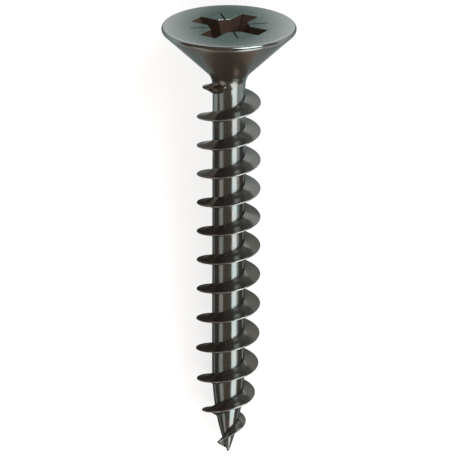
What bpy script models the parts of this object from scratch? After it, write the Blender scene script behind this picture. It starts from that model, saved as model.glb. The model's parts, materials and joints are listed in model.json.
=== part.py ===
"""A countersunk head screw for chipboard, one piece of blackened steel.

The screw is modelled upright round its own axis, with the flat face of the head at height zero
and the point below it, and is then tipped over to lie as it comes to rest: on the rim of the
head and on one crest of the thread. A depth is measured from the flat face down the axis.
All lengths are in metres and all angles in radians.
"""

import math

import bmesh
import bpy
from mathutils import Matrix, Vector
from mathutils.geometry import convex_hull_2d

# The head is a right-angled cone, with the usual allowance on the wide side
head_diameter = 0.0089
head_angle = math.radians(92)
rim_rounding = 0.00021
neck_fillet_radius = 0.0013

# The shank is plain at the neck and a little thinner where the thread was rolled
overall_length = 0.0300
neck_diameter = 0.00220
neck_length = 0.00062
core_diameter = 0.00216
rolling_step_length = 0.00005

# The core runs in to the point along a curve
point_length = 0.0065
point_power = 2.35
tip_radius = 0.00002

# The thread is right-handed with a single start, deep and thin, and its pitch widens towards the tip
thread_diameter = 0.00423
thread_pitch = 0.002005
pitch_growth = 0.122
pitch_growth_length = 0.0155
crest_land = 0.00009
point_bluntness = 0.3
upper_flank_angle = math.radians(18)
lower_flank_angle = math.radians(21)
thread_start_below_neck = 0.00011
thread_start_angle = math.radians(119.5)
run_out_turns = 0.67
thread_taper_length = 0.0105
thread_taper_power = 4.5
thread_end_before_tip = 0.00035
thread_foot_share = 0.72
foot_taper_length = 0.0025
foot_taper_power = 2.0

# The drive is a type Z cross recess: four wings with parallel walls round a square core
recess_span = 0.00527
wing_width = 0.00125
wing_depth = 0.0019
wing_end_slope = math.radians(26)
core_flats = 0.00265
core_depth = 0.0021
core_draft = math.radians(9)
recess_bottom_depth = 0.0026
wing_direction = math.radians(57.6)
wing_count = 4

# Four grooves in the face, halfway between the wings, mark this kind of recess
mark_outer_radius = 0.0026
mark_width = 0.00013
mark_depth = 0.00009

# Fineness of the round surfaces
sides = 48
rim_steps = 6
fillet_steps = 5
point_rings = 12
smooth_below = math.radians(32)

head_radius = head_diameter / 2
neck_radius = neck_diameter / 2
core_radius = core_diameter / 2
thread_radius = thread_diameter / 2
side_angle = 2 * math.pi / sides
# Half a side's turn puts the middle of a flat, and not a corner, on the side that lies on the ground
first_side = side_angle / 2
# A cutter starts this far above the face that it opens
cutter_clearance = 0.0003


def clear_scene():
    for old in list(bpy.data.objects):
        bpy.data.objects.remove(old, do_unlink=True)


def arc(centre, radius, start, end, steps):
    """Points (radius from the axis, depth) on an arc. An angle of zero points away from the axis."""
    angles = [start + (end - start) * step / steps for step in range(steps + 1)]
    return [
        (centre[0] + radius * math.cos(angle), centre[1] - radius * math.sin(angle))
        for angle in angles
    ]


def rim_centre():
    return (head_radius - rim_rounding, rim_rounding)


def neck_corner_depth():
    """The depth at which the cone would meet the neck if no fillet lay between them."""
    half_angle = head_angle / 2
    cone_top_radius = rim_centre()[0] + rim_rounding * math.cos(half_angle)
    cone_top_depth = rim_centre()[1] + rim_rounding * math.sin(half_angle)
    return cone_top_depth + (cone_top_radius - neck_radius) / math.tan(half_angle)


def fillet_end_depth():
    return neck_corner_depth() + neck_fillet_radius * math.tan(head_angle / 4)


def tapered(radius, taper_length, power, depth):
    """A radius that stays full down to the taper and then runs in to nothing at the tip."""
    share = (depth - overall_length + taper_length) / taper_length
    return radius * (1 - min(max(share, 0), 1) ** power)


def core_radius_at(depth):
    return tapered(core_radius, point_length, point_power, depth)


def blank_profile():
    """The outline of the screw without its thread, from the edge of the flat face down to the tip."""
    half_angle = head_angle / 2
    rim = arc(rim_centre(), rim_rounding, math.pi / 2, -half_angle, rim_steps)
    fillet_centre = (neck_radius + neck_fillet_radius, fillet_end_depth())
    fillet = arc(fillet_centre, neck_fillet_radius, math.pi - half_angle, math.pi, fillet_steps)
    neck_end = neck_corner_depth() + neck_length
    shoulder = [(neck_radius, neck_end), (core_radius, neck_end + rolling_step_length)]
    point = []
    for ring in range(point_rings):
        depth = overall_length - point_length * (1 - ring / point_rings)
        point.append((core_radius_at(depth), depth))
    tip = [(tip_radius, overall_length)]
    return rim + fillet + shoulder + point + tip


def new_object(name, mesh_builder):
    mesh = bpy.data.meshes.new(name)
    bmesh.ops.recalc_face_normals(mesh_builder, faces=mesh_builder.faces)
    mesh_builder.to_mesh(mesh)
    mesh_builder.free()
    made = bpy.data.objects.new(name, mesh)
    bpy.context.scene.collection.objects.link(made)
    return made


def make_blank():
    """Turns the outline round the axis and closes the face and the tip with flat ends."""
    builder = bmesh.new()
    turn = Matrix.Rotation(first_side, 3, "Z")
    corners = [builder.verts.new(turn @ Vector((radius, 0, -depth))) for radius, depth in blank_profile()]
    edges = [builder.edges.new(pair) for pair in zip(corners, corners[1:])]
    bmesh.ops.spin(
        builder,
        geom=corners + edges,
        cent=(0, 0, 0),
        axis=(0, 0, 1),
        angle=2 * math.pi,
        steps=sides,
        use_merge=True,
    )
    bmesh.ops.holes_fill(builder, edges=builder.edges)
    return new_object("screw", builder)


def thread_section(depth, turns):
    """The ridge's four corners at one depth: its foot, buried in the core, and its crest.

    The foot keeps its width where the thread is lower, so the crest is blunter there: cut off flat
    in the run-out, and in between on the point.
    """
    foot = thread_foot_share * core_radius_at(depth)
    full_crest = tapered(thread_radius, thread_taper_length, thread_taper_power, depth)
    run_out = math.sin(math.pi / 2 * min(turns / run_out_turns, 1))
    crest = foot + (full_crest - foot) * run_out
    full_height = thread_radius - thread_foot_share * core_radius
    bluntness = 1 if turns < run_out_turns else point_bluntness
    half_land = crest_land / 2 + bluntness * max(full_height - (crest - foot), 0) * math.tan(upper_flank_angle)
    foot_share = tapered(1, foot_taper_length, foot_taper_power, depth)
    upper_foot = foot_share * (crest_land / 2 + full_height * math.tan(upper_flank_angle))
    lower_foot = foot_share * (crest_land / 2 + full_height * math.tan(lower_flank_angle))
    upper_crest = min(half_land, upper_foot)
    lower_crest = min(half_land, lower_foot)
    return [
        (foot, depth - upper_foot),
        (crest, depth - upper_crest),
        (crest, depth + lower_crest),
        (foot, depth + lower_foot),
    ]


def make_thread():
    """The ridge as one closed coil, wound down the core from the neck to the tip."""
    builder = bmesh.new()
    # The coil's corners lie between those of the core, so that no two edges meet in one point
    angle = round(thread_start_angle / side_angle) * side_angle
    depth = neck_corner_depth() + thread_start_below_neck
    turns = 0
    sections = []
    while depth < overall_length - thread_end_before_tip:
        turn = Matrix.Rotation(angle, 3, "Z")
        corners = thread_section(depth, turns)
        sections.append([builder.verts.new(turn @ Vector((radius, 0, -low))) for radius, low in corners])
        growth_share = max(1 - (overall_length - depth) / pitch_growth_length, 0)
        depth += thread_pitch * (1 + pitch_growth * growth_share) / sides
        turns += 1 / sides
        angle -= side_angle
    for upper, lower in zip(sections, sections[1:]):
        for corner in range(len(upper)):
            after = (corner + 1) % len(upper)
            builder.faces.new((upper[corner], upper[after], lower[after], lower[corner]))
    builder.faces.new(sections[0])
    builder.faces.new(reversed(sections[-1]))
    return new_object("thread", builder)


def make_wing_cutter(name, direction):
    """A flat bar across the axis with sloping ends and a shallow point: two wings of the recess."""
    builder = bmesh.new()
    half_span = recess_span / 2
    above = cutter_clearance * math.tan(wing_end_slope)
    bottom_half_span = half_span - wing_depth * math.tan(wing_end_slope)
    outline = [
        (half_span + above, -cutter_clearance),
        (bottom_half_span, wing_depth),
        (0, recess_bottom_depth),
        (-bottom_half_span, wing_depth),
        (-half_span - above, -cutter_clearance),
    ]
    wall = builder.faces.new([builder.verts.new((across, -wing_width / 2, -low)) for across, low in outline])
    far_side = bmesh.ops.extrude_face_region(builder, geom=[wall])["geom"]
    moved = [item for item in far_side if isinstance(item, bmesh.types.BMVert)]
    bmesh.ops.translate(builder, verts=moved, vec=(0, wing_width, 0))
    bmesh.ops.rotate(builder, verts=builder.verts, matrix=Matrix.Rotation(direction, 3, "Z"))
    return new_object(name, builder)


def make_core_cutter():
    """The square core between the wings, with its flats across the diagonals and a pointed bottom."""
    builder = bmesh.new()
    bottom_flats = core_flats - 2 * core_depth * math.tan(core_draft)
    top_flats = core_flats + 2 * cutter_clearance * math.tan(core_draft)
    corner_direction = wing_direction
    loops = []
    for flats, depth in ((top_flats, -cutter_clearance), (bottom_flats, core_depth)):
        corner_radius = flats / math.sqrt(2)
        loop = []
        for corner in range(wing_count):
            angle = corner_direction + corner * 2 * math.pi / wing_count
            place = (corner_radius * math.cos(angle), corner_radius * math.sin(angle), -depth)
            loop.append(builder.verts.new(place))
        loops.append(loop)
    builder.faces.new(loops[0])
    tip = builder.verts.new((0, 0, -recess_bottom_depth))
    for corner in range(wing_count):
        after = (corner + 1) % wing_count
        builder.faces.new((loops[0][corner], loops[0][after], loops[1][after], loops[1][corner]))
        builder.faces.new((loops[1][corner], loops[1][after], tip))
    return new_object("core_cutter", builder)


def make_mark_cutter():
    """Four narrow bars, each from inside the recess out along a diagonal of the face."""
    builder = bmesh.new()
    inner_radius = core_flats / 2 - mark_width
    length = mark_outer_radius - inner_radius
    height = mark_depth + cutter_clearance
    for mark in range(wing_count):
        angle = wing_direction + (mark + 0.5) * 2 * math.pi / wing_count
        size = Matrix.Diagonal((length, mark_width, height, 1))
        place = Matrix.Translation((inner_radius + length / 2, 0, height / 2 - mark_depth))
        bmesh.ops.create_cube(builder, size=1, matrix=Matrix.Rotation(angle, 4, "Z") @ place @ size)
    return new_object("mark_cutter", builder)


def combine(screw, other, operation):
    """Adds the other shape to the screw, or cuts it away. The other shape stays as a hidden guide."""
    other.hide_render = True
    other.display_type = "WIRE"
    boolean = screw.modifiers.new(other.name, "BOOLEAN")
    boolean.operation = operation
    boolean.solver = "EXACT"
    boolean.object = other


def settle_modifiers(screw):
    """Makes the combined shape the screw's own mesh, shaded smooth but for its sharp edges."""
    graph = bpy.context.evaluated_depsgraph_get()
    mesh = bpy.data.meshes.new_from_object(screw.evaluated_get(graph))
    screw.modifiers.clear()
    screw.data = mesh
    mesh.name = screw.name
    mesh.shade_smooth()
    mesh.set_sharp_from_angle(angle=smooth_below)


def resting_tilt(mesh):
    """How far the tip dips below the head when the rim and a thread crest both touch the ground."""
    # The screw falls towards -Y, so the underside's outline is how far each corner reaches that way
    outline = [(-corner.co.z, -corner.co.y) for corner in mesh.vertices]
    hull = [Vector(outline[index]) for index in convex_hull_2d(outline)]
    edges = [(a, b) for a, b in zip(hull, hull[1:] + hull[:1]) if a.y + b.y > 0]
    head_end, tip_end = sorted(max(edges, key=lambda edge: (edge[1] - edge[0]).length), key=lambda end: end.x)
    return math.atan2(head_end.y - tip_end.y, tip_end.x - head_end.x)


def lay_down(screw, guides):
    """Tips the screw over with its head towards -Y, its box centred over the origin on the ground."""
    rest = bpy.data.objects.new("screw_at_rest", None)
    rest.empty_display_size = head_radius
    bpy.context.scene.collection.objects.link(rest)
    turn = Matrix.Rotation(math.pi / 2 - resting_tilt(screw.data), 3, "X")
    corners = [turn @ corner.co for corner in screw.data.vertices]
    middle = [(min(values) + max(values)) / 2 for values in zip(*corners)]
    lowest = min(corner.z for corner in corners)
    rest.rotation_euler = turn.to_euler()
    rest.location = (-middle[0], -middle[1], -lowest)
    for child in [screw] + guides:
        child.parent = rest


def blackened_steel():
    """Burnished black steel: dark, neutral and glossy."""
    material = bpy.data.materials.new("blackened_steel")
    material.use_nodes = True
    shader = material.node_tree.nodes["Principled BSDF"]
    shader.inputs["Base Color"].default_value = (0.105, 0.115, 0.112, 1)
    shader.inputs["Metallic"].default_value = 1.0
    shader.inputs["Roughness"].default_value = 0.28
    return material


def main():
    clear_scene()
    screw = make_blank()
    thread = make_thread()
    across = wing_direction + math.pi / 2
    cutters = [
        make_wing_cutter("first_wing_cutter", wing_direction),
        make_wing_cutter("second_wing_cutter", across),
        make_core_cutter(),
        make_mark_cutter(),
    ]
    combine(screw, thread, "UNION")
    for cutter in cutters:
        combine(screw, cutter, "DIFFERENCE")
    settle_modifiers(screw)
    screw.data.materials.append(blackened_steel())
    lay_down(screw, [thread] + cutters)


main()
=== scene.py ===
import json
import math
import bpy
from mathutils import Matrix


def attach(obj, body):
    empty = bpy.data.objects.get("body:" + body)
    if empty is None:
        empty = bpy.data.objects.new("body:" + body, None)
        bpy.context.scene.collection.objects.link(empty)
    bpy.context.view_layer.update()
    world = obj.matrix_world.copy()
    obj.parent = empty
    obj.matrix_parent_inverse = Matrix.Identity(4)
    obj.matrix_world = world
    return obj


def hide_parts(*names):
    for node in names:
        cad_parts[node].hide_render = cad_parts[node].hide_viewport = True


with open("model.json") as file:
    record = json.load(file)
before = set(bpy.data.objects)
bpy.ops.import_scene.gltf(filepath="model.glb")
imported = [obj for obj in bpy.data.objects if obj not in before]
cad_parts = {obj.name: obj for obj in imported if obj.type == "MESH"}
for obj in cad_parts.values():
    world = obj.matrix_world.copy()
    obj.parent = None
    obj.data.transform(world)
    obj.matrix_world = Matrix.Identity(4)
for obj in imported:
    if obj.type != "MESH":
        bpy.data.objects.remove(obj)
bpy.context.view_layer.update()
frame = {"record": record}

from types import SimpleNamespace

import bmesh
import bpy
from mathutils import Matrix, Vector

# The screw's sizes, in metres, the same as in the frame. A depth is measured from the flat face.
head_diameter = 0.0089
head_angle = math.radians(92)
rim_rounding = 0.00021
neck_fillet_radius = 0.0013
overall_length = 0.0300
neck_diameter = 0.00220
neck_length = 0.00062
core_diameter = 0.00216
rolling_step_length = 0.00005
point_length = 0.0065
point_power = 2.35
thread_diameter = 0.00423
thread_pitch = 0.002005
pitch_growth = 0.122
pitch_growth_length = 0.0155
crest_land = 0.00009
thread_start_below_neck = 0.00011
thread_start_angle = math.radians(119.5)
run_out_turns = 0.67
thread_taper_length = 0.0105
thread_end_before_tip = 0.00035
thread_foot_share = 0.72
foot_taper_length = 0.0025
foot_taper_power = 2.0
recess_span = 0.00527
wing_width = 0.00125
wing_depth = 0.0019
wing_end_slope = math.radians(26)
core_flats = 0.00265
core_depth = 0.0021
core_draft = math.radians(9)
recess_bottom_depth = 0.0026
wing_direction = math.radians(57.6)
wing_count = 4
mark_outer_radius = 0.0026
mark_width = 0.00013
mark_depth = 0.00009

# The finer form of the thread and the tip, where the frame's is plainer
tip_radius = 0.00005
blunt_share = 0.35
upper_flank_angle = math.radians(11)
lower_flank_angle = math.radians(13)
root_angle = math.radians(36)
waist_height = 0.00025
highest_waist_share = 0.8
thread_taper_power = 4.4
thread_lean = 0.08
thread_dip = 0.00035

# Fineness of the round surfaces
sides = 192
rim_steps = 18
cone_rings = 8
fillet_steps = 14
core_rings = 40
point_rings = 40
root_steps = 5
flank_steps = 3
crest_steps = 4

head_radius = head_diameter / 2
neck_radius = neck_diameter / 2
core_radius = core_diameter / 2
thread_radius = thread_diameter / 2
full_height = thread_radius - core_radius
side_angle = 2 * math.pi / sides
first_side = side_angle / 2
cutter_clearance = 0.0003
edge_softness = 0.00003
smooth_below = math.radians(32)
# The mount's point is this far up the flat face from its centre
mount_radius = 0.0034

# Colours of the steel: its oxide, painted reflection and shade on the cone and the flanks, the bare metal,
# and the tint that grazing reflections have
grey_oxide = (0.192, 0.200, 0.192, 1)
blue_oxide = (0.172, 0.208, 0.208, 1)
face_oxide = (0.140, 0.182, 0.168, 1)
# A painted dark reflection, in brown, for the middle of the cone
cone_painted_reflection = (0.165, 0.130, 0.108, 1)
# Lit and shaded copies of the flanks' colour: painted shade on the picture's left, painted light on its
# right
shaded_left_flank = (0.122, 0.102, 0.090, 1)
lit_right_flank = (0.190, 0.196, 0.186, 1)
# Painted shade for the flanks of the thread's run-out, just under the head
run_out_painted_shade = (0.085, 0.070, 0.058, 1)
recess_oxide = (0.080, 0.054, 0.042, 1)
bare_steel = (0.54, 0.57, 0.57, 1)
edge_tint = (0.33, 0.36, 0.36, 1)

# The cone carries a painted dark reflection in its middle: it is brown up to the first of these shares of
# its radius to either side, and mottled beyond the second
brown_reach = 0.3
mottled_reach = 0.75
# The flanks carry painted light and shade: they turn from a lit grey on the picture's right to a shaded
# brown on its left over twice this width, and a painted shade darkens them above this depth
flank_blend = 0.0006
run_out_depth = 0.0044
run_out_blend = 0.00015

# How much of the surface is metal, where the rest is a dull oxide
metal_share = 0.95
cone_metal_share = 0.88
flank_metal_share = 0.85
recess_metal_share = 0.3

# Wear bares the steel on the crest of the thread and on the edge of the face, within these distances
# and by these shares. In places only the least share of it is there.
worn_crest_height = 0.00004
crest_wear = 0.6
worn_edge_width = 0.0001
edge_wear = 0.25
least_wear = 0.2
# A painted sheen on the face grows from this radius to the rim. Its front and back count as nearer than they
# are, so it is brightest at the left and right ends.
face_sheen_start = 0.0017
face_sheen_front = 0.55
painted_face_sheen = 0.9
face_speckle = 0.12

# The recess lies within these radii, at its mouth and at its floor
recess_mouth_radius = 0.00268
recess_floor_radius = 0.00180
# How exactly a corner or a face has to lie in the flat face to count as part of it
corner_tolerance = 1e-7
plane_tolerance = 1e-6
facing_up = 0.999
# A corner this share of a mark's width away from its middle line still belongs to the mark
mark_reach = 0.6
# An edge of the face that turns by more than this is an edge of the recess
mouth_edge_angle = math.radians(30)

# Roughness
smoothest = 0.14
roughest = 0.22
cone_roughness = 0.19
rim_roughness = 0.16
face_roughness = 0.32
recess_roughness = 0.50
floor_roughness = 0.9

# Fineness of the patterns, in repeats to a metre, and the part of a noise's range that each one uses
patch_scale = 900.0
cloud_scale = 1500.0
rubbing_scale = 2600.0
speckle_scale = 7000.0
brush_scale = 9000.0
drawn_scale = 14000.0
patch_range = (0.4, 0.6)
grain_range = (0.35, 0.65)
cloud_range = (0.3, 0.7)
coarse_detail = 4.0
patch_detail = 3.0
fine_detail = 2.0
cloudy_roughness = 0.6
# Lines are noise drawn out along one direction
drawn_squeeze = 0.04
brush_squeeze = 0.08
line_strength = 0.25
line_depth = 0.00001

# The floor, and the dim glowing screens beside the screw that only the metal mirrors: a flag stands on edge
# and a card lies on the floor
white = (1, 1, 1, 1)
black = (0, 0, 0, 1)
floor_colour = (0.26, 0.26, 0.26, 1)
floor_glow = 0.74
floor_half_width = 3.0
screen_end = 0.030
flag_distance = 0.0065
flag_start = -0.0065
flag_height = 0.005
flag_colour = (1.0, 0.75, 0.60, 1)
flag_glow = 0.12
card_inside = 0.0008
card_outside = 0.0045
card_start = -0.0045
card_rise = 0.0001
card_colour = (1.0, 0.92, 0.84, 1)
left_card_glow = 0.22
right_card_glow = 0.55
world_colour = (1.0, 0.70, 0.50, 1)
world_strength = 0.2

# A lamp's turn round the axis towards the picture's right and its lean towards the tip, both in
# degrees, its width and length in metres, and its brightness. The steel mirrors all but the
# overhead one.
mirrored_lamps = {
    "key": (42, 35, 0.216, 0.33, 3.4),
    "beside_key": (75, 25, 0.14, 0.25, 0.8),
    "dim_side": (-54, 35, 0.17, 0.33, 0.8),
    "key_low": (58, 72, 0.12, 0.16, 3.0),
    "dim_low": (-62, 72, 0.12, 0.16, 1.0),
    "head_side": (42, -45, 0.216, 0.24, 6.5),
}
overhead_lamp = (0, 15, 0.40, 0.30, 2.7)
lamp_distance = 0.35

# The camera, from the photograph. The aim is a depth on the axis and its pixel in the picture.
camera_rise = math.radians(19.99)
camera_roll = 0.0024
camera_distance = 0.5432
focal_pixels = 8199
picture_size = 458
sensor_width = 36.0
aim_depth = 0.01485
aim_pixel = (228.53, 238.16)
nearest_seen = 0.01
farthest_seen = 10.0

# The screw lies as its frame does. The mount gives the way that the head faces and a point on the flat face.
mount = frame["record"]["mounts"][0]
head_way = Vector(mount["axis"]).normalized()
upper_side = Vector((0, head_way.z, -head_way.y))
picture_right = Vector((-1, 0, 0))
face_centre = Vector(mount["pos_m"]) - upper_side * mount_radius
lying_turn = Matrix((-picture_right, upper_side, head_way)).transposed()
screw_middle = face_centre - head_way * overall_length / 2


def arc(centre, radius, start, end, steps):
    """Points (radius from the axis, depth) on an arc. An angle of zero points away from the axis."""
    angles = [start + (end - start) * step / steps for step in range(steps + 1)]
    return [
        (centre[0] + radius * math.cos(angle), centre[1] - radius * math.sin(angle))
        for angle in angles
    ]


def between(first, last, steps):
    """Points that divide the straight stretch between two others, without its ends."""
    return [
        tuple(a + (b - a) * step / steps for a, b in zip(first, last))
        for step in range(1, steps)
    ]


def rim_centre():
    return (head_radius - rim_rounding, rim_rounding)


def neck_corner_depth():
    half_angle = head_angle / 2
    cone_top_radius = rim_centre()[0] + rim_rounding * math.cos(half_angle)
    cone_top_depth = rim_centre()[1] + rim_rounding * math.sin(half_angle)
    return cone_top_depth + (cone_top_radius - neck_radius) / math.tan(half_angle)


def fillet_end_depth():
    return neck_corner_depth() + neck_fillet_radius * math.tan(head_angle / 4)


def taper_share(taper_length, depth):
    """How far down a taper a depth is: nothing above it and one at the tip."""
    return min(max(1 - (overall_length - depth) / taper_length, 0), 1)


def core_radius_at(depth):
    return core_radius - (core_radius - tip_radius) * taper_share(point_length, depth) ** point_power


def blank_profile():
    half_angle = head_angle / 2
    rim = arc(rim_centre(), rim_rounding, math.pi / 2, -half_angle, rim_steps)
    fillet_centre = (neck_radius + neck_fillet_radius, fillet_end_depth())
    fillet = arc(fillet_centre, neck_fillet_radius, math.pi - half_angle, math.pi, fillet_steps)
    cone = between(rim[-1], fillet[0], cone_rings)
    neck_end = neck_corner_depth() + neck_length
    shoulder = [(neck_radius, neck_end), (core_radius, neck_end + rolling_step_length)]
    point = []
    for ring in range(point_rings):
        depth = overall_length - point_length * (1 - ring / point_rings)
        point.append((core_radius_at(depth), depth))
    core = between(shoulder[-1], point[0], core_rings)
    tip = [(tip_radius, overall_length)]
    return rim + cone + fillet + shoulder + core + point + tip


def new_object(name, mesh_builder):
    mesh = bpy.data.meshes.new(name)
    bmesh.ops.recalc_face_normals(mesh_builder, faces=mesh_builder.faces)
    mesh_builder.to_mesh(mesh)
    mesh_builder.free()
    made = bpy.data.objects.new(name, mesh)
    bpy.context.scene.collection.objects.link(made)
    return made


def make_blank():
    builder = bmesh.new()
    rings = []
    for radius, depth in blank_profile():
        ring = []
        for side in range(sides):
            angle = first_side + side * side_angle
            ring.append(builder.verts.new((radius * math.cos(angle), radius * math.sin(angle), -depth)))
        rings.append(ring)
    for upper, lower in zip(rings, rings[1:]):
        for side in range(sides):
            after = (side + 1) % sides
            builder.faces.new((upper[side], upper[after], lower[after], lower[side]))
    builder.faces.new(rings[0])
    builder.faces.new(reversed(rings[-1]))
    return new_object("visual_screw", builder)


def crest_radius_at(depth, angle):
    """The envelope of the thread. On the point it stands out further where the angle is zero."""
    share = taper_share(thread_taper_length, depth)
    return thread_radius * (1 - share ** thread_taper_power) * (1 + thread_lean * share * math.cos(angle))


def dip_at(depth, angle):
    """How far the last turns sink towards the tip on the side where they stand out."""
    return thread_dip * taper_share(thread_taper_length, depth) ** thread_taper_power * math.cos(angle)


def half_width_at(height, flank_angle):
    """How far the full ridge reaches along the axis from its middle, at a height above the core."""
    above = full_height - max(height, waist_height)
    below = max(waist_height - height, 0)
    return crest_land / 2 + above * math.tan(flank_angle) + below * math.tan(root_angle)


def bend(start, corner, end, steps):
    """Points on a curve that leaves its start and reaches its end along the lines to the corner."""
    points = []
    for step in range(steps + 1):
        share = step / steps
        weights = ((1 - share) ** 2, 2 * share * (1 - share), share ** 2)
        parts = list(zip(weights, (start, corner, end)))
        points.append(tuple(sum(weight * point[axis] for weight, point in parts) for axis in (0, 1)))
    return points


def thread_side(core, foot, crest, flank_angle, thickness):
    """One side of the ridge, from its foot over the rounded waist and half of the rounded crest."""
    waist = min(core + waist_height, foot + highest_waist_share * (crest - foot))
    cut = half_width_at(crest - core, flank_angle) - crest_land / 2
    half_land = crest_land / 2 + blunt_share * cut * thickness ** 2
    rounding = min(half_land, (crest - foot) / 2, crest_land)
    start = (foot, half_width_at(foot - core, flank_angle))
    middle = (waist, half_width_at(waist - core, flank_angle))
    shoulder = (crest - rounding, half_land)
    # The waist bends from halfway up the root to a third of the way up the flank
    root_end = between(start, middle, 2)[0]
    flank_start = between(middle, shoulder, 3)[0]
    points = [start] + bend(root_end, middle, flank_start, root_steps)
    points += between(flank_start, shoulder, flank_steps)
    for step in range(crest_steps):
        angle = math.pi / 2 * (1 - step / crest_steps)
        points.append((crest - rounding + rounding * math.cos(angle), half_land * math.sin(angle)))
    return points


def thread_section(depth, angle, turns):
    """The ridge's outline at one depth, from its upper foot over the crest to its lower foot."""
    core = core_radius_at(depth)
    foot = thread_foot_share * core
    run_out = math.sin(math.pi / 2 * min(turns / run_out_turns, 1))
    crest = foot + (crest_radius_at(depth, angle) - foot) * run_out
    thickness = 1 - taper_share(foot_taper_length, depth) ** foot_taper_power
    middle = depth + dip_at(depth, angle)
    upper = thread_side(core, foot, crest, upper_flank_angle, thickness)
    lower = thread_side(core, foot, crest, lower_flank_angle, thickness)
    corners = [(radius, middle - thickness * out) for radius, out in upper]
    corners.append((crest, middle))
    return corners + [(radius, middle + thickness * out) for radius, out in reversed(lower)]


def make_thread():
    builder = bmesh.new()
    angle = round(thread_start_angle / side_angle) * side_angle
    depth = neck_corner_depth() + thread_start_below_neck
    turns = 0
    sections = []
    while depth < overall_length - thread_end_before_tip:
        turn = Matrix.Rotation(angle, 3, "Z")
        corners = thread_section(depth, angle, turns)
        sections.append([builder.verts.new(turn @ Vector((radius, 0, -low))) for radius, low in corners])
        growth = pitch_growth * taper_share(pitch_growth_length, depth)
        depth += thread_pitch * (1 + growth) / sides
        turns += 1 / sides
        angle -= side_angle
    for upper, lower in zip(sections, sections[1:]):
        for corner in range(len(upper)):
            after = (corner + 1) % len(upper)
            builder.faces.new((upper[corner], upper[after], lower[after], lower[corner]))
    builder.faces.new(sections[0])
    builder.faces.new(reversed(sections[-1]))
    return new_object("thread_ridge", builder)


def make_wing_cutter(name, direction):
    """A flat bar across the axis with sloping ends and a shallow point: two wings of the recess."""
    builder = bmesh.new()
    half_span = recess_span / 2
    above = cutter_clearance * math.tan(wing_end_slope)
    bottom_half_span = half_span - wing_depth * math.tan(wing_end_slope)
    outline = [
        (half_span + above, -cutter_clearance),
        (bottom_half_span, wing_depth),
        (0, recess_bottom_depth),
        (-bottom_half_span, wing_depth),
        (-half_span - above, -cutter_clearance),
    ]
    wall = builder.faces.new([builder.verts.new((across, -wing_width / 2, -low)) for across, low in outline])
    far_side = bmesh.ops.extrude_face_region(builder, geom=[wall])["geom"]
    moved = [item for item in far_side if isinstance(item, bmesh.types.BMVert)]
    bmesh.ops.translate(builder, verts=moved, vec=(0, wing_width, 0))
    bmesh.ops.rotate(builder, verts=builder.verts, matrix=Matrix.Rotation(direction, 3, "Z"))
    return new_object(name, builder)


def make_core_cutter():
    """The square core between the wings, with its flats across the diagonals and a pointed bottom."""
    builder = bmesh.new()
    bottom_flats = core_flats - 2 * core_depth * math.tan(core_draft)
    top_flats = core_flats + 2 * cutter_clearance * math.tan(core_draft)
    loops = []
    for flats, depth in ((top_flats, -cutter_clearance), (bottom_flats, core_depth)):
        corner_radius = flats / math.sqrt(2)
        loop = []
        for corner in range(wing_count):
            angle = wing_direction + corner * 2 * math.pi / wing_count
            place = (corner_radius * math.cos(angle), corner_radius * math.sin(angle), -depth)
            loop.append(builder.verts.new(place))
        loops.append(loop)
    builder.faces.new(loops[0])
    tip = builder.verts.new((0, 0, -recess_bottom_depth))
    for corner in range(wing_count):
        after = (corner + 1) % wing_count
        builder.faces.new((loops[0][corner], loops[0][after], loops[1][after], loops[1][corner]))
        builder.faces.new((loops[1][corner], loops[1][after], tip))
    return new_object("core_cutter", builder)


def make_mark_cutter(number):
    """A narrow bar from inside the recess out along one diagonal of the face."""
    builder = bmesh.new()
    inner_radius = core_flats / 2 - mark_width
    length = mark_outer_radius - inner_radius
    height = mark_depth + cutter_clearance
    angle = wing_direction + (number + 0.5) * 2 * math.pi / wing_count
    size = Matrix.Diagonal((length, mark_width, height, 1))
    place = Matrix.Translation((inner_radius + length / 2, 0, height / 2 - mark_depth))
    bmesh.ops.create_cube(builder, size=1, matrix=Matrix.Rotation(angle, 4, "Z") @ place @ size)
    return new_object("mark_cutter_" + str(number), builder)


def combine(screw, others):
    """Joins or cuts each of the other shapes, keeps the result as the screw's mesh and deletes them."""
    for operation, other in others:
        boolean = screw.modifiers.new(other.name, "BOOLEAN")
        boolean.operation = operation
        boolean.solver = "MANIFOLD"
        boolean.object = other
    graph = bpy.context.evaluated_depsgraph_get()
    mesh = bpy.data.meshes.new_from_object(screw.evaluated_get(graph))
    screw.modifiers.clear()
    screw.data = mesh
    mesh.name = screw.name
    for operation, other in others:
        bpy.data.objects.remove(other)


def on_mark(corner):
    """Whether a corner of the face is on the long side of one of the four marks."""
    quarter = 2 * math.pi / wing_count
    angle = math.atan2(corner.co.y, corner.co.x) - wing_direction - quarter / 2
    aside = angle - round(angle / quarter) * quarter
    return abs(corner.co.xy.length * math.sin(aside)) < mark_width * mark_reach


def soften_recess(screw):
    """Rounds the edge between the flat face and the walls of the recess, but leaves the marks sharp."""
    builder = bmesh.new()
    builder.from_mesh(screw.data)
    rounded = []
    for edge in builder.edges:
        on_face = all(abs(corner.co.z) < corner_tolerance for corner in edge.verts)
        inside = all(corner.co.xy.length < recess_span / 2 + mark_width for corner in edge.verts)
        marked = all(on_mark(corner) for corner in edge.verts)
        if on_face and inside and not marked and edge.calc_face_angle(0) > mouth_edge_angle:
            rounded.append(edge)
    bmesh.ops.bevel(
        builder,
        geom=rounded,
        offset=edge_softness,
        offset_type="OFFSET",
        segments=2,
        profile=0.5,
        affect="EDGES",
        clamp_overlap=True,
    )
    builder.to_mesh(screw.data)
    builder.free()


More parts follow.
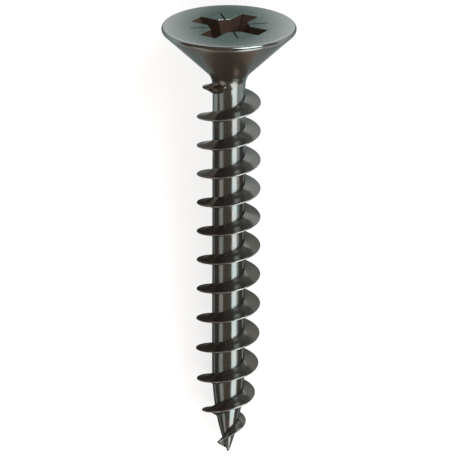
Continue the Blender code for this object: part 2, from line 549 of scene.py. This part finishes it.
def flatten_planes(mesh):
    """Shades the flat face and the planes of the recess flat, so that they reflect as planes do."""
    for face in mesh.polygons:
        middle = face.center
        on_face = face.normal.z > facing_up and abs(middle.z) < plane_tolerance
        recess_reach = recess_mouth_radius + middle.z * math.tan(wing_end_slope)
        in_recess = -recess_bottom_depth - edge_softness < middle.z < -edge_softness
        in_recess = in_recess and middle.xy.length < recess_reach
        if on_face or in_recess:
            face.use_smooth = False


def bare_radius_at(depth):
    """The radius of the neck's fillet and of the core without the thread."""
    above = fillet_end_depth() - depth
    if above < 0:
        return core_radius_at(depth)
    return neck_radius + neck_fillet_radius - math.sqrt(neck_fillet_radius ** 2 - above ** 2)


def mark_zones(mesh):
    """Notes at each corner how far it is worn as a crest and whether it is on a flank of the thread."""
    wear = mesh.attributes.new("wear", "FLOAT", "POINT")
    flank = mesh.attributes.new("flank", "FLOAT", "POINT")
    for corner, worn, aside in zip(mesh.vertices, wear.data, flank.data):
        radius = corner.co.xy.length
        depth = -corner.co.z
        if depth > neck_corner_depth():
            crest = crest_radius_at(depth, math.atan2(corner.co.y, corner.co.x))
            worn.value = min(max(1 - (crest - radius) / worn_crest_height, 0), 1)
            aside.value = 1 if radius > bare_radius_at(depth) + worn_crest_height else 0


def node(tree, kind, inputs=None, **settings):
    """Adds a shader node. An input is a plain value or another node's output."""
    made = tree.nodes.new("ShaderNode" + kind)
    for name, value in settings.items():
        setattr(made, name, value)
    for name, value in (inputs or {}).items():
        if isinstance(value, bpy.types.NodeSocket):
            tree.links.new(value, made.inputs[name])
        else:
            made.inputs[name].default_value = value
    return made


# A Mix node takes values at its inputs 2 and 3, and colours at 6 and 7
def blend_colours(tree, share, first, second):
    """The first colour where the share is nothing, and the second where it is one."""
    return node(tree, "Mix", {0: share, 6: first, 7: second}, data_type="RGBA").outputs[2]


def blend_values(tree, share, first, second):
    """The first value where the share is nothing, and the second where it is one."""
    return node(tree, "Mix", {0: share, 2: first, 3: second}, data_type="FLOAT").outputs[0]


def remap(tree, value, low, high, to_low=0.0, to_high=1.0):
    """Turns one range of a value into another, and stops at both ends."""
    return node(tree, "MapRange", {0: value, 1: low, 2: high, 3: to_low, 4: to_high}).outputs[0]


def calculate(tree, operation, first, second=0.0, clamp=False):
    return node(tree, "Math", {0: first, 1: second}, operation=operation, use_clamp=clamp).outputs[0]


def stretched(tree, place, by):
    return node(tree, "VectorMath", {0: place, 1: by}, operation="MULTIPLY").outputs[0]


def length_of(tree, vector):
    return node(tree, "VectorMath", {0: vector}, operation="LENGTH").outputs["Value"]


def noise(tree, place, scale, detail, roughness=0.5):
    inputs = {"Vector": place, "Scale": scale, "Detail": detail, "Roughness": roughness}
    return node(tree, "TexNoise", inputs).outputs[0]


def recess_zone(tree, radius, height):
    """One inside the recess and nothing outside it."""
    reach = remap(tree, height, -wing_depth, 0.0, recess_floor_radius, recess_mouth_radius)
    within = calculate(tree, "LESS_THAN", radius, reach)
    below_face = calculate(tree, "LESS_THAN", height, -edge_softness)
    above_floor = calculate(tree, "GREATER_THAN", height, -recess_bottom_depth - edge_softness)
    both = calculate(tree, "MULTIPLY", within, below_face)
    return calculate(tree, "MULTIPLY", both, above_floor)


def find_zones(tree):
    """Where a point is on the upright screw, and how far it is in each of the screw's zones."""
    # The patterns follow the upright screw, so its lying place is taken off again
    lying_place = node(tree, "TexCoord").outputs["Object"]
    mapping = node(tree, "Mapping", {"Vector": lying_place}, vector_type="TEXTURE")
    mapping.inputs["Location"].default_value = face_centre
    mapping.inputs["Rotation"].default_value = lying_turn.to_euler()
    place = mapping.outputs[0]
    apart = node(tree, "SeparateXYZ", {0: place}).outputs
    height = apart["Z"]
    across = node(tree, "CombineXYZ", {0: apart["X"], 1: apart["Y"]}).outputs[0]
    radius = length_of(tree, across)
    head = remap(tree, height, -fillet_end_depth(), -neck_corner_depth() + neck_length)
    below_rim = remap(tree, height, -rim_rounding, -2 * rim_rounding)
    return SimpleNamespace(
        place=place,
        across=across,
        radius=radius,
        height=height,
        left=apart["X"],
        crest=node(tree, "Attribute", attribute_name="wear").outputs["Fac"],
        flank=node(tree, "Attribute", attribute_name="flank").outputs["Fac"],
        head=head,
        cone=calculate(tree, "MULTIPLY", head, below_rim),
        rim=remap(tree, height, -2 * rim_rounding, -rim_rounding),
        face=calculate(tree, "GREATER_THAN", height, -edge_softness),
        recess=recess_zone(tree, radius, height),
    )


def oxide_and_painted_shade_at(tree, zones):
    """Grey and blue tints that come and go over a millimetre or so, each zone's own tint, and painted
    reflection and shade on the cone and the flanks.
    """
    patches = noise(tree, zones.place, patch_scale, patch_detail, cloudy_roughness)
    mottled = blend_colours(tree, remap(tree, patches, *patch_range), grey_oxide, blue_oxide)
    # The cone's middle, front and back, gets the painted dark reflection
    sideways = calculate(tree, "ABSOLUTE", calculate(tree, "DIVIDE", zones.left, zones.radius))
    front = remap(tree, sideways, mottled_reach, brown_reach)
    cone_front = calculate(tree, "MULTIPLY", zones.cone, front)
    body = blend_colours(tree, cone_front, mottled, cone_painted_reflection)
    # Painted light and shade: the flanks are lit grey on the picture's right and shaded brown on its left
    left = remap(tree, zones.left, -flank_blend, flank_blend)
    flank = blend_colours(tree, left, lit_right_flank, shaded_left_flank)
    # Painted shade darkens the flanks of the run-out just under the head
    run_out = remap(tree, zones.height, -run_out_depth - run_out_blend, -run_out_depth)
    flank = blend_colours(tree, run_out, flank, run_out_painted_shade)
    outside = blend_colours(tree, zones.flank, body, flank)
    darkened = blend_colours(tree, zones.recess, outside, recess_oxide)
    return blend_colours(tree, zones.face, darkened, face_oxide)


def face_sheen_at(tree, zones):
    """A painted sheen brightens the face towards its edge, most of all at two opposite ends; fine grain runs
    through it.
    """
    oval = stretched(tree, zones.across, (1.0, face_sheen_front, 1.0))
    outer = remap(tree, length_of(tree, oval), face_sheen_start, rim_centre()[0], to_high=painted_face_sheen)
    speckle = noise(tree, zones.place, speckle_scale, fine_detail)
    grains = remap(tree, speckle, *grain_range, -face_speckle, face_speckle)
    grained = calculate(tree, "ADD", outer, grains, clamp=True)
    return calculate(tree, "MULTIPLY", grained, zones.face)


def wear_at(tree, zones):
    """Wear brightens the crest of the thread and the edge of the face, here more and there less."""
    crest = calculate(tree, "MULTIPLY", zones.crest, crest_wear)
    inward = calculate(tree, "SUBTRACT", zones.radius, rim_centre()[0])
    edge_distance = length_of(tree, node(tree, "CombineXYZ", {0: inward, 1: zones.height}).outputs[0])
    edge = remap(tree, edge_distance, worn_edge_width, 0.0, to_high=edge_wear)
    rubbing = noise(tree, zones.place, rubbing_scale, fine_detail)
    rubbed = remap(tree, rubbing, *grain_range, to_low=least_wear)
    return calculate(tree, "MULTIPLY", calculate(tree, "MAXIMUM", crest, edge), rubbed)


def metal_at(tree, zones):
    metal = blend_values(tree, zones.cone, metal_share, cone_metal_share)
    metal = blend_values(tree, zones.flank, metal, flank_metal_share)
    return blend_values(tree, zones.recess, metal, recess_metal_share)


def roughness_at(tree, zones):
    """Cloudy on the shank, even on the head, and highest in the recess."""
    clouds = noise(tree, zones.place, cloud_scale, coarse_detail, cloudy_roughness)
    cloudy = remap(tree, clouds, *cloud_range, smoothest, roughest)
    upper = blend_values(tree, zones.head, cloudy, cone_roughness)
    edged = blend_values(tree, zones.rim, upper, rim_roughness)
    top = blend_values(tree, zones.face, edged, face_roughness)
    return blend_values(tree, zones.recess, top, recess_roughness)


def fine_lines(tree, zones):
    """Fine drawing lines along the shank, and brushed lines across the face."""
    along = stretched(tree, zones.place, (1.0, 1.0, drawn_squeeze))
    drawn = noise(tree, along, drawn_scale, fine_detail)
    sideways = stretched(tree, zones.place, (1.0, brush_squeeze, 1.0))
    brushed = noise(tree, sideways, brush_scale, fine_detail)
    lines = blend_values(tree, zones.face, drawn, brushed)
    inputs = {"Height": lines, "Strength": line_strength, "Distance": line_depth}
    return node(tree, "Bump", inputs).outputs[0]


def blackened_steel():
    material = bpy.data.materials.new("blackened_steel")
    material.use_nodes = True
    tree = material.node_tree
    shader = tree.nodes["Principled BSDF"]
    zones = find_zones(tree)
    # The face's painted sheen shows the bare steel colour, as the real wear below does
    sheened_colour = blend_colours(tree, face_sheen_at(tree, zones), oxide_and_painted_shade_at(tree, zones), bare_steel)
    worn = blend_colours(tree, wear_at(tree, zones), sheened_colour, bare_steel)
    tree.links.new(worn, shader.inputs["Base Color"])
    tree.links.new(metal_at(tree, zones), shader.inputs["Metallic"])
    tree.links.new(roughness_at(tree, zones), shader.inputs["Roughness"])
    tree.links.new(fine_lines(tree, zones), shader.inputs["Normal"])
    shader.inputs["Specular IOR Level"].default_value = 0.0
    shader.inputs["Specular Tint"].default_value = edge_tint
    return material


def floor_white():
    """A pale floor that the camera, and the metal, see a little lighter than the lamps make it."""
    material = bpy.data.materials.new("floor_white")
    material.use_nodes = True
    tree = material.node_tree
    shader = tree.nodes["Principled BSDF"]
    shader.inputs["Base Color"].default_value = floor_colour
    shader.inputs["Roughness"].default_value = floor_roughness
    shader.inputs["Specular IOR Level"].default_value = 0.0
    ray = node(tree, "LightPath").outputs
    seen = calculate(tree, "ADD", ray["Is Camera Ray"], ray["Is Glossy Ray"])
    seen = calculate(tree, "MAXIMUM", seen, ray["Is Transmission Ray"])
    glow = calculate(tree, "MULTIPLY", seen, floor_glow, clamp=True)
    shader.inputs["Emission Color"].default_value = white
    tree.links.new(glow, shader.inputs["Emission Strength"])
    return material


def make_floor():
    builder = bmesh.new()
    bmesh.ops.create_grid(builder, x_segments=1, y_segments=1, size=floor_half_width)
    floor = new_object("floor", builder)
    floor.data.materials.append(floor_white())


def make_screen(name, corners, colour, glow):
    """A flat glowing screen near the screw that only the metal sees, in place of the pale floor: it sets the
    reflections beside the screw.
    """
    builder = bmesh.new()
    builder.faces.new([builder.verts.new(corner) for corner in corners])
    screen = new_object(name, builder)
    material = bpy.data.materials.new(name)
    material.use_nodes = True
    shader = material.node_tree.nodes["Principled BSDF"]
    shader.inputs["Base Color"].default_value = black
    shader.inputs["Specular IOR Level"].default_value = 0.0
    shader.inputs["Emission Color"].default_value = colour
    shader.inputs["Emission Strength"].default_value = glow
    screen.data.materials.append(material)
    screen.visible_camera = False
    screen.visible_shadow = False
    screen.visible_diffuse = False
    screen.visible_transmission = False


def make_flag(name, across):
    ends = (flag_start, screen_end)
    corners = [(across, along, 0) for along in ends]
    corners += [(across, along, flag_height) for along in reversed(ends)]
    make_screen(name, corners, flag_colour, flag_glow)


def make_card(name, side, glow):
    corners = [(side * across, card_start, card_rise) for across in (card_inside, card_outside)]
    corners += [(side * across, screen_end, card_rise) for across in (card_outside, card_inside)]
    make_screen(name, corners, card_colour, glow)


def make_lamp(name, turn_from_front, lean, width, length, brightness):
    """A soft panel aimed at the middle of the screw.

    It stands at an angle round the axis, from the upper side towards the picture's right, and leans
    from there towards the tip. Both angles are in degrees.
    """
    turned = math.radians(turn_from_front)
    leaned = math.radians(lean)
    away = math.cos(turned) * upper_side + math.sin(turned) * picture_right
    away = math.cos(leaned) * away - math.sin(leaned) * head_way
    light = bpy.data.lights.new(name, "AREA")
    light.shape = "RECTANGLE"
    light.size = width
    light.size_y = length
    light.energy = brightness * math.pi * width * length
    lamp = bpy.data.objects.new(name, light)
    bpy.context.scene.collection.objects.link(lamp)
    side = head_way.cross(away).normalized()
    place = Matrix.Translation(screw_middle + away * lamp_distance)
    lamp.matrix_world = place @ Matrix((side, away.cross(side), away)).transposed().to_4x4()
    return lamp


def make_world():
    world = bpy.data.worlds.new("studio")
    world.use_nodes = True
    background = world.node_tree.nodes["Background"]
    background.inputs["Color"].default_value = world_colour
    background.inputs["Strength"].default_value = world_strength
    bpy.context.scene.world = world


def make_camera():
    """The photograph's camera: it looks down on the screw from the head's end."""
    toward = math.sin(camera_rise) * head_way + math.cos(camera_rise) * upper_side
    level_up = math.cos(camera_rise) * head_way - math.sin(camera_rise) * upper_side
    right = picture_right * math.cos(camera_roll) + level_up * math.sin(camera_roll)
    up = level_up * math.cos(camera_roll) - picture_right * math.sin(camera_roll)
    data = bpy.data.cameras.new("camera")
    data.sensor_width = sensor_width
    data.lens = focal_pixels * sensor_width / picture_size
    data.clip_start = nearest_seen
    data.clip_end = farthest_seen
    camera = bpy.data.objects.new("camera", data)
    bpy.context.scene.collection.objects.link(camera)
    metres_per_pixel = camera_distance / focal_pixels
    aim = face_centre - head_way * aim_depth
    aim = aim - right * (aim_pixel[0] - picture_size / 2) * metres_per_pixel
    aim = aim + up * (aim_pixel[1] - picture_size / 2) * metres_per_pixel
    facing = Matrix((right, up, toward)).transposed()
    camera.matrix_world = Matrix.Translation(aim + toward * camera_distance) @ facing.to_4x4()
    bpy.context.scene.camera = camera


screw = make_blank()
shapes = [
    ("UNION", make_thread()),
    ("DIFFERENCE", make_wing_cutter("first_wing_cutter", wing_direction)),
    ("DIFFERENCE", make_wing_cutter("second_wing_cutter", wing_direction + math.pi / 2)),
    ("DIFFERENCE", make_core_cutter()),
]
shapes += [("DIFFERENCE", make_mark_cutter(number)) for number in range(wing_count)]
combine(screw, shapes)
soften_recess(screw)
screw.data.shade_smooth()
screw.data.set_sharp_from_angle(angle=smooth_below)
flatten_planes(screw.data)
mark_zones(screw.data)
screw.data.transform(Matrix.Translation(face_centre) @ lying_turn.to_4x4())
screw.data.materials.clear()
screw.data.materials.append(blackened_steel())
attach(screw, "root")
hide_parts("screw")

make_floor()
make_flag("left_flag", flag_distance)
make_flag("right_flag", -flag_distance)
make_card("left_card", 1, left_card_glow)
make_card("right_card", -1, right_card_glow)
for name, values in mirrored_lamps.items():
    make_lamp(name, *values)
overhead = make_lamp("overhead", *overhead_lamp)
overhead.visible_glossy = False
make_world()
make_camera()
bpy.context.scene.view_settings.view_transform = "Standard"
